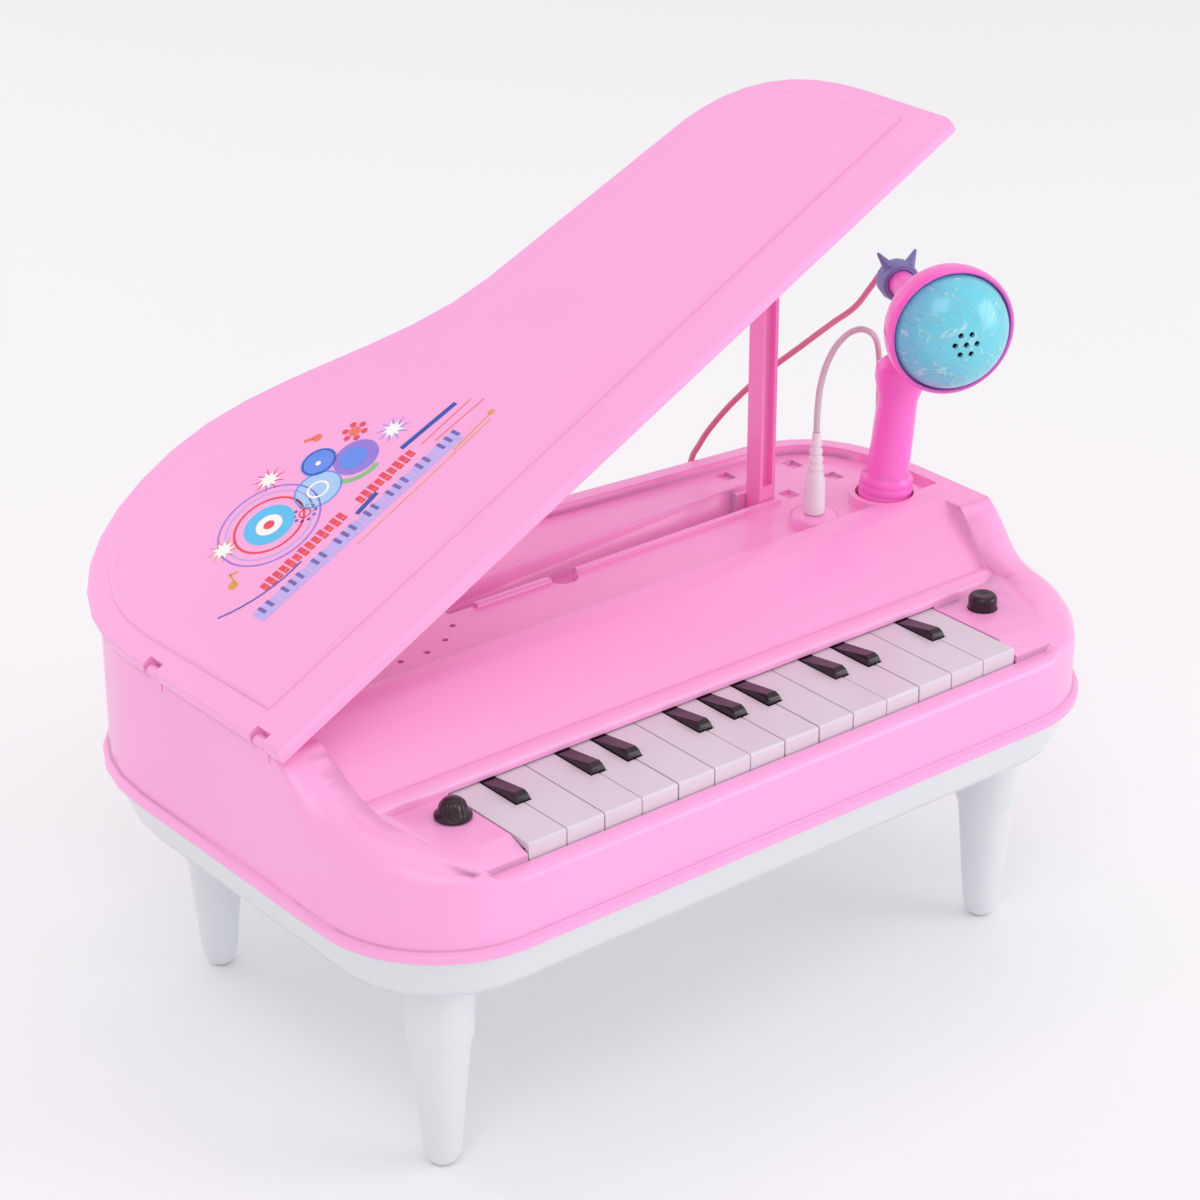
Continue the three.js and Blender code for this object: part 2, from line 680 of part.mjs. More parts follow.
function prop() {
  const { x, pivotZ, half } = PROP;
  const underPlate = (LID_PLATE[0] - HINGE[1] - GAP) / Math.cos(LID_ANGLE);
  const lidAt = (at) => HINGE[1] + (at - HINGE[0]) * Math.tan(LID_ANGLE) + underPlate;
  const shape = new THREE.Shape();
  shape.moveTo(x + half, pivotZ);
  shape.lineTo(x + half, lidAt(x + half));
  shape.lineTo(x - half, lidAt(x - half));
  shape.lineTo(x - half, pivotZ);
  shape.absarc(x, pivotZ, half, Math.PI, Math.PI * 2);
  const hole = new THREE.Path();
  hole.absarc(x, pivotZ, 1.8, 0, Math.PI * 2);
  shape.holes.push(hole);
  const geometry = extruded(shape, half * 2);
  geometry.rotateX(Math.PI / 2);
  geometry.translate(0, PROP.y + half, 0);
  const channel = block(
    x - half + 1.6, x + half - 1.6, PROP.y - half - 1, PROP.y - half + 3, pivotZ + 10, pivotZ + 132,
  );
  return cut(solid(geometry), channel);
}

// ---- microphone ----

function clampArm(axis) {
  const hold = MIC_HEAD.clone().addScaledVector(axis, 30);
  const lean = STAND_TOP.clone().sub(STAND_FOOT).normalize();
  const cupTop = STAND_FOOT.clone().addScaledVector(lean, 56);
  const neck = hold.clone().lerp(cupTop, 0.28);
  const along = (reach) => hold.clone().addScaledVector(axis, reach);
  const ring = between(along(-4.5), along(4.5), 8.4, 8.4, 16);
  return join(ring, between(cupTop, neck, 5.2, 4, 12));
}

function micStand(axis) {
  const post = turned([
    [0, -5], [4.6, -5], [4.6, 0], [10.7, 0], [10.7, 2.8], [10, 3.4],
    [10.7, 4], [10.7, 6.2], [10, 6.8], [10.6, 7.4], [10.3, 9.8],
    [8.4, 11.4], [7.9, 42], [10.2, 50], [10.2, 55], [6.6, 58.5], [0, 59],
  ], 16);
  const lean = STAND_TOP.clone().sub(STAND_FOOT).normalize();
  post.applyQuaternion(new THREE.Quaternion().setFromUnitVectors(UP, lean));
  post.translate(...STAND_FOOT);
  const hold = MIC_HEAD.clone().addScaledVector(axis, 30);
  const bore = between(
    hold.clone().addScaledVector(axis, -20), hold.clone().addScaledVector(axis, 20), 5.7, 5.7, 16,
  );
  const mouth = between(hold, hold.clone().addScaledVector(UP, 20), 4.4, 4.4, 4);
  return cut(join(solid(post), clampArm(axis)), bore, mouth);
}

function micShell() {
  return solid(turned([
    [0, 12], [7, 12], [13, 9.6], [19, 5.2], [21.3, 1.8], [23.4, 1.8],
    [23.4, -1.3], [24.3, -2], [25.2, -0.9], [25.4, 1.3], [25.2, 5],
    [23.6, 10], [20, 15.4], [14.6, 20], [9, 22.8], [6.2, 24],
    [HANDLE, 25.2], [HANDLE, 62], [3.4, 62.8], [2, 66], [0, 66],
  ], 18));
}

function micDome() {
  const profile = [];
  const rise = 15.5;
  const rim = 23;
  for (const angle of [0, 15, 30, 45, 60, 75, 90]) {
    const turn = THREE.MathUtils.degToRad(angle);
    profile.push([rim * Math.sin(turn), 1.2 - (rise + 1.2) * Math.cos(turn)]);
  }
  for (const angle of [90, 60, 30, 0]) {
    const turn = THREE.MathUtils.degToRad(angle);
    profile.push([(rim - 1.6) * Math.sin(turn), 1.2 - (rise - 0.4) * Math.cos(turn)]);
  }
  profile[6][0] = rim;
  const holes = [rod(0, 0, -20, -8, 1, 6)];
  for (let i = 0; i < 6; i += 1) {
    const angle = (i * Math.PI) / 3;
    holes.push(rod(4.4 * Math.cos(angle), 4.4 * Math.sin(angle), -20, -8, 1, 6));
  }
  return cut(solid(turned(profile, 18)), ...holes);
}

function micCapsule() {
  return rod(0, 0, 4.2, 10.7, 6, 12);
}

function micTailCap() {
  const ring = turned([[5.7, 53.5], [7.6, 53.5], [8.4, 57], [8, 61.2], [5.7, 61.2], [5.7, 53.5]], 16);
  const horns = [-0.62, 0.62].map((angle) => {
    const outward = new THREE.Vector3(Math.sin(angle), Math.cos(angle), 0);
    const root = outward.clone().multiplyScalar(7.1).setZ(57.5);
    const tip = outward.clone().multiplyScalar(13.7).setZ(60.5);
    return between(root, tip, 2.6, 0.5, 6);
  });
  return cut(join(solid(ring), ...horns), rod(0, 0, 46, 66, 5.6, 16));
}

// ---- cord ----

function cordTube(points) {
  const curve = new THREE.CatmullRomCurve3(points.map((point) => new THREE.Vector3(...point)));
  const section = new THREE.Shape();
  section.absarc(0, 0, CORD, 0, Math.PI * 2);
  const steps = Math.round(curve.getLength() / CORD_STEP);
  return solid(new THREE.ExtrudeGeometry(section, { steps, extrudePath: curve, curveSegments: 4 }));
}

function cordCoil() {
  const profile = [];
  for (let i = 0; i <= 6; i += 1) {
    const angle = (i / 6 + 0.25) * Math.PI * 2;
    const out = COIL_RADIUS + COIL_SECTION * Math.cos(angle);
    profile.push([out, COIL_HEIGHT + COIL_SECTION * Math.sin(angle)]);
  }
  return turnedAt(profile, 20, ...COIL_AT);
}

function cordTie() {
  const inner = COIL_SECTION + GAP;
  const tie = new THREE.Shape();
  tie.absarc(0, 0, inner + TIE_BAND, 0, Math.PI * 2);
  const hole = new THREE.Path();
  hole.absarc(0, 0, inner, 0, Math.PI * 2);
  tie.holes.push(hole);
  const geometry = extruded(tie, 4, 6);
  geometry.rotateY(Math.PI / 2);
  geometry.translate(-2, 0, 0);
  geometry.translate(COIL_AT[0], COIL_AT[1] + COIL_RADIUS, COIL_HEIGHT);
  return solid(geometry);
}

// ---- assembly ----

add('upper_shell', upperShell(), MATERIAL.pink);
add('base_tray', baseTray(), MATERIAL.white);
for (const [name, [x, y]] of Object.entries(LEGS)) {
  add(name, turnedAt(leg(), 14, x, y), MATERIAL.white);
}
SCREWS.forEach(([x, y], i) => {
  add(`case_screw_${i + 1}`, turnedAt(screw(), 8, x, y), MATERIAL.steel);
});

for (let number = 1; number <= KEY_COUNT; number += 1) {
  add(`white_key_${String(number).padStart(2, '0')}`, whiteKey(number), MATERIAL.keyWhite);
}
BLACK_AFTER.forEach((after, i) => {
  add(`black_key_${String(i + 1).padStart(2, '0')}`, blackKey(after), MATERIAL.keyBlack);
});
add('key_axle', rodAlongX(-119.3, 119.3, ...PIVOT, AXLE), MATERIAL.steel);
add('key_contact_strip', contactStrip(), MATERIAL.rubber);
add('circuit_board', circuitBoard(), MATERIAL.board);

add('volume_knob', volumeKnob(), MATERIAL.keyBlack);
add('volume_potentiometer', potentiometer(), MATERIAL.rubber);
add('power_button', powerButton(), MATERIAL.keyBlack);
add('power_switch', powerSwitch(), MATERIAL.rubber);
add('jack_socket', jackSocket(), MATERIAL.rubber);
add('jack_plug', jackPlug(), MATERIAL.white);
add('speaker', speaker(), MATERIAL.paperCone);

[-15, 0, 15].forEach((x, i) => {
  add(`battery_${i + 1}`, battery(x), MATERIAL.battery);
});
add('battery_contacts', batteryContacts(), MATERIAL.steel);
add('battery_door', batteryDoor(), MATERIAL.white);

const raised = new THREE.Group();
raised.position.set(HINGE[0], 0, HINGE[1]);
raised.rotation.y = -LID_ANGLE;
const closed = new THREE.Group();
closed.position.set(-HINGE[0], 0, -HINGE[1]);
raised.add(closed);
piano.add(raised);
add('lid', lidSolid(), MATERIAL.pink, closed);
['lid_hinge_pin_front', 'lid_hinge_pin_rear'].forEach((name, i) => {
  const [y0, y1] = HINGE_SPANS[i];
  add(name, rodAlongY(HINGE[0], y0 - 3.3, y1 + 3.3, HINGE[1], 0.9, 8), MATERIAL.steel);
});
add('prop_stick', prop(), MATERIAL.hotPink);
add('prop_pivot_pin', rodAlongY(PROP.x, 11.4, 24.8, PROP.pivotZ, 1.5), MATERIAL.steel);

const micAxis = MIC_TAIL.clone().sub(MIC_HEAD).normalize();
const micSide = UP.clone().cross(micAxis).normalize();
const micUp = micAxis.clone().cross(micSide);
const microphone = new THREE.Group();
microphone.position.copy(MIC_HEAD);
microphone.quaternion.setFromRotationMatrix(new THREE.Matrix4().makeBasis(micSide, micUp, micAxis));
piano.add(microphone);
add('mic_shell', micShell(), MATERIAL.hotPink, microphone);
add('mic_dome', micDome(), MATERIAL.turquoise, microphone);
add('mic_capsule', micCapsule(), MATERIAL.rubber, microphone);
add('mic_tail_cap', micTailCap(), MATERIAL.greyViolet, microphone);
add('mic_stand', micStand(micAxis), MATERIAL.hotPink);

add('mic_cord_front', cordTube(CORD_FROM_PLUG), MATERIAL.cord);
add('mic_cord_back', cordTube(CORD_TO_MIC), MATERIAL.cord);
add('mic_cord_coil', cordCoil(), MATERIAL.cord);
add('mic_cord_tie', cordTie(), MATERIAL.rubber);

export default piano;
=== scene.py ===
"""Toy grand-piano keyboard: moulded shapes, finishes, lid print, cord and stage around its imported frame."""

import math

import bmesh
import bpy
from bpy.props import FloatProperty, FloatVectorProperty, PointerProperty
from mathutils import Matrix, Vector


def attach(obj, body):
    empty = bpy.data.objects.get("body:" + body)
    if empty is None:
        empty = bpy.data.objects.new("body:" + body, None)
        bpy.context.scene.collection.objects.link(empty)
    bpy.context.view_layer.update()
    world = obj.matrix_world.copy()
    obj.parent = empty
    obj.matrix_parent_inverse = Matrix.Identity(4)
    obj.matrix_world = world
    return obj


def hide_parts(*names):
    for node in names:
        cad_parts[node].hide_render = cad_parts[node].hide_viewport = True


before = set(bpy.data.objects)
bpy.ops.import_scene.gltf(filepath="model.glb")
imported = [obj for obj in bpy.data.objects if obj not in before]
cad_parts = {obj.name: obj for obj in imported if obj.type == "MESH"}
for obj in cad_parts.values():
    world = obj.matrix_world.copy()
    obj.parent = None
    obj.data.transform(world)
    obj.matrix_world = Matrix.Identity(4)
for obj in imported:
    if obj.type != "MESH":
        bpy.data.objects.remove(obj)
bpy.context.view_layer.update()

bl_info = {
    "name": "Toy Grand-Piano Keyboard",
    "version": (1, 0, 0),
    "blender": (4, 5, 0),
    "location": "3D View > Sidebar > Toy Piano",
    "description": "Builds the looks of a toy grand piano with a microphone around its packed frame",
    "category": "Object",
}

MM = 0.001

# Moulding
SHARP_DEGREES = 38.0
ROUND_STEPS = 64
FUSE = 2e-6
FLAT_DEGREES = 0.4

# How far the gloss drifts to each side of a finish's roughness, and the least it falls to
GLOSS_SPREAD = 0.08
GLOSS_LEAST = 0.03

# Places shared with the frame, in millimetres
LEG_PLACES = {
    "leg_front_left": (-134, -83), "leg_front_right": (134, -83),
    "leg_back_left": (-122, 78), "leg_back_right": (126, 29),
}
KNOB_PLACE = (-124, -80)
BUTTON_PLACE = (131, -78)
PLUG_PLACE = (103.4, -11.8)
HINGE_X, HINGE_Z = -170.5, 160.6
LID_DEGREES = 27.5
LID_FACE_Z = 165.4
MIC_FACE = Vector((141.5, -44, 235))
MIC_END = Vector((167.7, 16.6, 235))

# Small forms, in millimetres: the boot's ribs, the knob's flutes, the dome and its sound holes
BOOT_RIBS = 5
BOOT_RIB_FIRST = (3.45, 174.6)
BOOT_RIB_PITCH = 3.3
BOOT_RIB_TAPER = 0.27
KNOB_FLUTES = 12
KNOB_FLUTE_DEPTH = 0.07
KNOB_FLUTE_Z = (136.9, 141.2)
DOME_RIM = 23.0
DOME_RISE = 16.7
DOME_WALL = 1.5
DOME_BASE = 1.2
DOME_RINGS = 12
HOLE_RADIUS = 1.1
HOLE_RING = 4.4
HOLE_COUNT = 6
HOLE_DEPTH = 12
HOLE_MIDDLE_Z = -14

# Camera, soft boxes (name, place, size and share of the light's power), sky and floor
LENS = 98.1
SENSOR = 36.0
SHIFT_UP = 0.0084
CLIP = (0.02, 20.0)
EYE = Vector((-0.6957, -0.8597, 0.6817))
AIM = Vector((-0.0846, -0.1104, 0.2118))
SOFT_BOXES = (
    ("key_box", (-1.0, -1.0, 1.8), 1.1, 0.36),
    ("top_box", (0.5, 0.5, 2.0), 1.6, 0.12),
    ("side_box", (1.5, -1.6, 0.7), 1.2, 0.62),
    ("back_box", (-0.6, 1.9, 0.9), 1.2, 0.2),
)
LIT_SPOT = Vector((0, 0, 0.12))
SKY_STRENGTH = 0.8
FLOOR_RADIUS = 6.0
FLOOR_Z = -0.0002

# The cord's route, in metres: from the microphone down to the coil, and from the coil up to the plug
CORD_FROM_MIC = (
    (0.1681, 0.0176, 0.2350), (0.1688, 0.0224, 0.2334), (0.1660, 0.0254, 0.2275), (0.1590, 0.0270, 0.2200),
    (0.1500, 0.0300, 0.2145), (0.1405, 0.0326, 0.2090), (0.1210, 0.0460, 0.1900), (0.1082, 0.0558, 0.1715),
    (0.1054, 0.0594, 0.1635), (0.1050, 0.0628, 0.1575), (0.1056, 0.0652, 0.1480), (0.1070, 0.0662, 0.1050),
    (0.1085, 0.0670, 0.0580), (0.1114, 0.0690, 0.0220), (0.1136, 0.0704, 0.0120), (0.1176, 0.0724, 0.0052),
    (0.1214, 0.0765, 0.0024), (0.1228, 0.0820, 0.0016),
)
CORD_TO_PLUG = (
    (0.1534, 0.0820, 0.0016), (0.1594, 0.0645, 0.0015), (0.1685, 0.0430, 0.0016), (0.1710, 0.0340, 0.0028),
    (0.1725, 0.0280, 0.0100), (0.1730, 0.0254, 0.0260), (0.1732, 0.0242, 0.0500), (0.1734, 0.0228, 0.0980),
    (0.1729, 0.0216, 0.1530), (0.1700, 0.0205, 0.1605), (0.1666, 0.0188, 0.1655), (0.1635, 0.0160, 0.1760),
    (0.1598, 0.0125, 0.1905), (0.1555, 0.0090, 0.2060), (0.1500, 0.0055, 0.2150), (0.1415, 0.0015, 0.2215),
    (0.1320, -0.0020, 0.2252), (0.1225, -0.0048, 0.2250), (0.1140, -0.0073, 0.2210),
    (0.1075, -0.0095, 0.2130), (0.1042, -0.0112, 0.2030), (0.1034, -0.0118, 0.1933),
)
COIL_CENTRE = (0.138, 0.092)
COIL_SLOTS = ((0.01530, 0.0049), (0.01270, 0.0049), (0.01270, 0.0023), (0.01530, 0.0023))
COIL_START_DEGREES = 190.0
COIL_TURN_DEGREES = 1286.0
COIL_STEPS = 64
COIL_SHIFT_DEGREES = 66.0
COIL_LEAD = (203.0, 0.0174, 0.0037)
# Where along Y the cord's painted shade and pink reflection from the case begin and are full, in metres
CORD_SHADE_Y = (0.004, 0.024)


def linear(code):
    """Turns an sRGB hex colour into the linear colour that a shader socket takes."""
    parts = [int(code[i:i + 2], 16) / 255 for i in (1, 3, 5)]
    return tuple(c / 12.92 if c <= 0.04045 else ((c + 0.055) / 1.055) ** 2.4 for c in parts) + (1.0,)


def display(code):
    """Turns an sRGB hex colour into the three linear numbers of a colour property."""
    return linear(code)[:3]


class ToyPianoSettings(bpy.types.PropertyGroup):
    """Sizes and colours that a user would change."""

    case_colour: FloatVectorProperty(
        name="Case pink", description="Colour of the moulded case and lid", subtype="COLOR", size=3,
        min=0, max=1, default=display("#FFAEE2"))
    stand_colour: FloatVectorProperty(
        name="Microphone pink", description="Colour of the microphone and its stand", subtype="COLOR",
        size=3, min=0, max=1, default=display("#FF78D8"))
    dome_colour: FloatVectorProperty(
        name="Dome turquoise", description="Colour of the microphone's dome", subtype="COLOR", size=3,
        min=0, max=1, default=display("#6CD3E6"))
    key_round: FloatProperty(
        name="Key edge", description="Rounding of the keys' edges", subtype="DISTANCE", unit="LENGTH",
        default=0.00045, min=0.0001, max=0.001)
    cord_diameter: FloatProperty(
        name="Cord diameter", description="Outer diameter of the microphone's cord", subtype="DISTANCE",
        unit="LENGTH", default=0.0025, min=0.002, max=0.003)
    print_thickness: FloatProperty(
        name="Print thickness", description="How far the printed ink stands off the lid", subtype="DISTANCE",
        unit="LENGTH", default=0.00008, min=0.00003, max=0.0003)
    lamp_power: FloatProperty(
        name="Studio light", description="Power of the main soft box", subtype="POWER", unit="POWER",
        default=19.0, min=1, max=200)


# ---- materials ----

def add_node(tree, kind, settings=None, values=None, links=None):
    """Adds one shader node with its own settings, its sockets' values and the links into it."""
    node = tree.nodes.new(kind)
    for name, value in (settings or {}).items():
        setattr(node, name, value)
    for name, value in (values or {}).items():
        node.inputs[name].default_value = value
    for name, source in (links or {}).items():
        tree.links.new(source, node.inputs[name])
    return node


def start_material(name):
    """Returns a new material's node tree, its shader and the Object coordinates that patterns read."""
    material = bpy.data.materials.new(name)
    material.use_nodes = True
    tree = material.node_tree
    place = add_node(tree, "ShaderNodeTexCoord").outputs["Object"]
    return tree, tree.nodes["Principled BSDF"], place


def surface(name, hue, flow, rough, peel_mm=1.6, peel_um=6.0, flow_mm=45.0, sockets=None):
    """A moulded, printed or plated finish: slow colour drift, a fine skin texture and uneven gloss."""
    tree, shader, place = start_material(name)
    drift = add_node(
        tree, "ShaderNodeTexNoise",
        values={"Scale": 1 / (flow_mm * MM), "Detail": 2.0, "Roughness": 0.45},
        links={"Vector": place}).outputs["Fac"]
    tint = add_node(
        tree, "ShaderNodeMix", {"data_type": "RGBA"}, {6: hue, 7: flow}, {0: drift})
    skin = add_node(
        tree, "ShaderNodeTexNoise",
        values={"Scale": 1 / (peel_mm * MM), "Detail": 3.0, "Roughness": 0.5},
        links={"Vector": place}).outputs["Fac"]
    low, high = max(rough - GLOSS_SPREAD, GLOSS_LEAST), rough + GLOSS_SPREAD
    gloss = add_node(
        tree, "ShaderNodeMapRange",
        values={"From Min": 0.0, "From Max": 1.0, "To Min": low, "To Max": high}, links={"Value": drift})
    relief = add_node(
        tree, "ShaderNodeBump",
        values={"Strength": 0.6, "Distance": peel_um * 1e-6}, links={"Height": skin})
    tree.links.new(tint.outputs[2], shader.inputs["Base Color"])
    tree.links.new(gloss.outputs["Result"], shader.inputs["Roughness"])
    tree.links.new(relief.outputs["Normal"], shader.inputs["Normal"])
    for socket, value in (sockets or {}).items():
        shader.inputs[socket].default_value = value


def swirled_dome(name, hue):
    """Turquoise ABS with an embossed swirl of crests and deeper hollows under a clear gloss; the crests are
    painted paler, a painted highlight on the ridges.
    """
    tree, shader, place = start_material(name)
    centred = add_node(
        tree, "ShaderNodeMapping", values={"Location": tuple(-MIC_FACE * MM)}, links={"Vector": place})
    swirl = add_node(
        tree, "ShaderNodeTexNoise",
        values={"Scale": 1 / 0.016, "Detail": 1.0, "Roughness": 0.3, "Distortion": 2.6},
        links={"Vector": centred.outputs["Vector"]}).outputs["Fac"]
    middle = add_node(tree, "ShaderNodeMath", {"operation": "SUBTRACT"}, {1: 0.5}, {0: swirl})
    away = add_node(
        tree, "ShaderNodeMath", {"operation": "ABSOLUTE"}, links={0: middle.outputs["Value"]})
    crest = add_node(
        tree, "ShaderNodeMapRange", {"interpolation_type": "SMOOTHSTEP"},
        {"From Min": 0.0, "From Max": 0.035, "To Min": 1.0, "To Max": 0.0},
        {"Value": away.outputs["Value"]}).outputs["Result"]
    # Paler colour on the swirl's crests: painted highlight on the embossed ridges
    tint = add_node(
        tree, "ShaderNodeMix", {"data_type": "RGBA"}, {6: hue, 7: linear("#A5E4EE")}, {0: crest})
    relief = add_node(
        tree, "ShaderNodeBump",
        values={"Strength": 0.7, "Distance": 0.0004}, links={"Height": crest})
    tree.links.new(tint.outputs[2], shader.inputs["Base Color"])
    tree.links.new(relief.outputs["Normal"], shader.inputs["Normal"])
    for socket, value in {"Roughness": 0.22, "Coat Weight": 0.5, "Coat Roughness": 0.12}.items():
        shader.inputs[socket].default_value = value


def cord_jacket(name):
    """Soft PVC jacket with a slight die-line ripple; greyish by the plug and darker and rosier behind the
    case, which is painted shade with a painted pink reflection from the case.
    """
    tree, shader, place = start_material(name)
    axes = add_node(tree, "ShaderNodeSeparateXYZ", links={"Vector": place})
    # How far the cord sits behind the case, which sets its painted shade and pink reflection
    painted_shade_share = add_node(
        tree, "ShaderNodeMapRange",
        values={"From Min": CORD_SHADE_Y[0], "From Max": CORD_SHADE_Y[1], "To Min": 0.0, "To Max": 1.0},
        links={"Value": axes.outputs["Y"]}).outputs["Result"]
    tint = add_node(
        tree, "ShaderNodeMix", {"data_type": "RGBA"},
        {6: linear("#D6C6CB"), 7: linear("#DB7F9C")}, {0: painted_shade_share})
    skin = add_node(
        tree, "ShaderNodeTexNoise", values={"Scale": 1 / 0.0015, "Detail": 2.0}, links={"Vector": place})
    relief = add_node(
        tree, "ShaderNodeBump", values={"Strength": 0.5, "Distance": 0.00004},
        links={"Height": skin.outputs["Fac"]})
    tree.links.new(tint.outputs[2], shader.inputs["Base Color"])
    tree.links.new(relief.outputs["Normal"], shader.inputs["Normal"])
    shader.inputs["Roughness"].default_value = 0.42


INKS = {
    "ink_purple": ("#8F6FD6", "#A184E0"),
    "ink_lilac": ("#C9B8F2", "#BBA9EE"),
    "ink_violet": ("#6A5CA8", "#7A6BBB"),
    "ink_red": ("#F04B63", "#E63A56"),
    "ink_coral": ("#F7785F", "#F2695A"),
    "ink_cyan": ("#4CBDF0", "#62C8F4"),
    "ink_blue": ("#5B86EC", "#6A93F0"),
    "ink_pale_blue": ("#A3C8F7", "#B5D3F9"),
    "ink_navy": ("#2B50B8", "#2346A6"),
    "ink_white": ("#FFF8F2", "#FFFFFF"),
    "ink_gold": ("#E9A646", "#DE9A3C"),
    "ink_green": ("#8CC98A", "#7FBE7E"),
}


def make_materials():
    """Makes every finish that the pieces and the frame's nodes wear."""
    settings = bpy.context.scene.toy_piano
    case = tuple(settings.case_colour) + (1.0,)
    stand = tuple(settings.stand_colour) + (1.0,)
    # Injection-moulded ABS: an even pink with a soft gloss and the faint orange peel of a polished mould
    surface("moulded_abs_pink", case, linear("#FEA9DE"), 0.30, sockets={"Coat Weight": 0.15})
    # The same ABS in a saturated pink, for the microphone and its stand
    surface("moulded_abs_hot_pink", stand, linear("#FF6CCE"), 0.27, sockets={"Coat Weight": 0.2})
    # The case's pink, darker and hotter for the prop: painted shade for where the prop lies under the open
    # lid
    surface("moulded_abs_pink_painted_shade", linear("#FF9BD6"), linear("#FF94D2"), 0.28, sockets={"Coat Weight": 0.15})
    # Injection-moulded ABS, cool white, for the base, its legs and the battery door
    surface("moulded_abs_white", linear("#E2E4E7"), linear("#E2E4E9"), 0.32)
    # Polystyrene key tops: whiter, with a harder gloss and a faint lilac cast
    surface("moulded_styrene_white", linear("#E4DAE2"), linear("#DDD2DC"), 0.24, peel_um=3.0)
    # Black polystyrene with a plum cast where the skin is thin
    surface("moulded_styrene_black", linear("#1C0E17"), linear("#2A1421"), 0.20, peel_um=3.0)
    # Satin ABS in grey violet for the microphone's tail cap
    surface("moulded_abs_grey_violet", linear("#7F7FB4"), linear("#6F70A6"), 0.40)
    # Soft PVC moulded over the plug: nearly white and a little waxy
    surface("moulded_pvc_white", linear("#F1E8EC"), linear("#E8DCE2"), 0.45, peel_um=10.0)
    # Moulded rubber and dull black component plastics
    surface("moulded_rubber_black", linear("#2A2A2D"), linear("#343438"), 0.62, peel_um=20.0)
    # Nickel-plated steel pins, springs and screws: fine drawn lines break up the highlight
    surface(
        "plated_steel", linear("#C9CBCF"), linear("#B9BBC0"), 0.28, peel_mm=0.3, peel_um=3.0, flow_mm=12.0,
        sockets={"Metallic": 1.0})
    # Phenolic laminate: brown board with pressed paper mottling
    surface("phenolic_board", linear("#9A7440"), linear("#836032"), 0.5, flow_mm=4.0)
    # Pressed paper cone, matt and fibrous
    surface(
        "pressed_paper_cone", linear("#2B2A2C"), linear("#3A393B"), 0.85, peel_mm=0.8, peel_um=40.0,
        flow_mm=6.0)
    # Printed film on dry cells
    surface("printed_battery_film", linear("#3E7A4A"), linear("#346B40"), 0.3)
    # Dark inside of the microphone's sound holes
    surface("shaded_hole_black", linear("#0B0A0C"), linear("#141216"), 0.8)
    for name, (hue, flow) in INKS.items():
        # Pad-printed ink: a thin even film with a slight mottle and a duller surface than the plastic
        surface(name, linear(hue), linear(flow), 0.42, peel_mm=0.6, peel_um=3.0, flow_mm=6.0)
    swirled_dome("turquoise_abs_painted_highlight", tuple(settings.dome_colour) + (1.0,))
    cord_jacket("extruded_pvc_cord")


# ---- shapes ----

def turned(profile, steps=ROUND_STEPS):
    """A mesh of a (radius, height) profile in millimetres, turned about Z."""
    bm = bmesh.new()
    points = [bm.verts.new((radius * MM, 0, height * MM)) for radius, height in profile]
    edges = [bm.edges.new(pair) for pair in zip(points, points[1:])]
    bmesh.ops.spin(
        bm, geom=points + edges, cent=(0, 0, 0), axis=(0, 0, 1), angle=2 * math.pi, steps=steps,
        use_merge=True, use_duplicate=False)
    bmesh.ops.remove_doubles(bm, verts=bm.verts, dist=FUSE)
    bmesh.ops.recalc_face_normals(bm, faces=bm.faces)
    return bm


def copied(node):
    """A merged copy of a frame node's mesh, with its flat faces made whole."""
    bm = bmesh.new()
    bm.from_mesh(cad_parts[node].data)
    bmesh.ops.remove_doubles(bm, verts=bm.verts, dist=FUSE)
    bmesh.ops.dissolve_limit(
        bm, angle_limit=math.radians(FLAT_DEGREES), use_dissolve_boundaries=False,
        verts=bm.verts, edges=bm.edges)
    return bm


def eased(bm, width, degrees=30.0, segments=3):
    """Rounds the edges that are sharper than an angle."""
    limit = math.radians(degrees)
    edges = [e for e in bm.edges if len(e.link_faces) == 2 and e.calc_face_angle(0.0) > limit]
    bmesh.ops.bevel(
        bm, geom=edges, offset=width, offset_type="OFFSET", segments=segments, profile=0.5,
        affect="EDGES", clamp_overlap=True, material=-1)
    return bm


def moved(bm, matrix):
    """Puts a mesh in its place."""
    bmesh.ops.transform(bm, matrix=matrix, verts=bm.verts)
    return bm


def standing(bm, at):
    """Puts a mesh that was turned about Z over its place on the plan, in millimetres."""
    return moved(bm, Matrix.Translation((at[0] * MM, at[1] * MM, 0)))


def evenly(at, radius, count):
    """Places at even steps round a centre, in millimetres."""
    turns = [2 * math.pi * i / count for i in range(count)]
    return [(at[0] + radius * math.cos(turn), at[1] + radius * math.sin(turn)) for turn in turns]


def settle(made, modifier):
    """Applies the object's one modifier to its mesh."""
    graph = bpy.context.evaluated_depsgraph_get()
    mesh = bpy.data.meshes.new_from_object(made.evaluated_get(graph))
    made.modifiers.remove(modifier)
    made.data = mesh


def piece(name, bm, body, material, replaces=(), smooth=SHARP_DEGREES):
    """Makes a finished object of a mesh, gives it its finish, puts it on the body it rides on and hides the
    frame nodes it replaces.
    """
    mesh = bpy.data.meshes.new(name)
    bm.to_mesh(mesh)
    bm.free()
    mesh.shade_smooth()
    mesh.set_sharp_from_angle(angle=math.radians(smooth))
    mesh.materials.append(bpy.data.materials[material])
    made = bpy.data.objects.new(name, mesh)
    bpy.context.scene.collection.objects.link(made)
    flats = made.modifiers.new("even_flats", "WEIGHTED_NORMAL")
    flats.keep_sharp = True
    settle(made, flats)
    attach(made, body)
    if replaces:
        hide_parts(*replaces)
    return made


def coat_node(node, material):
    """Gives a frame node that stays in view its finish."""
    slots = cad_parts[node].data.materials
    slots.clear()
    slots.append(bpy.data.materials[material])


# ---- stage ----

def looking(place, target):
    """The turn that points a camera or a lamp from its place at a target."""
    return (target - Vector(place)).to_track_quat("-Z", "Y").to_euler()


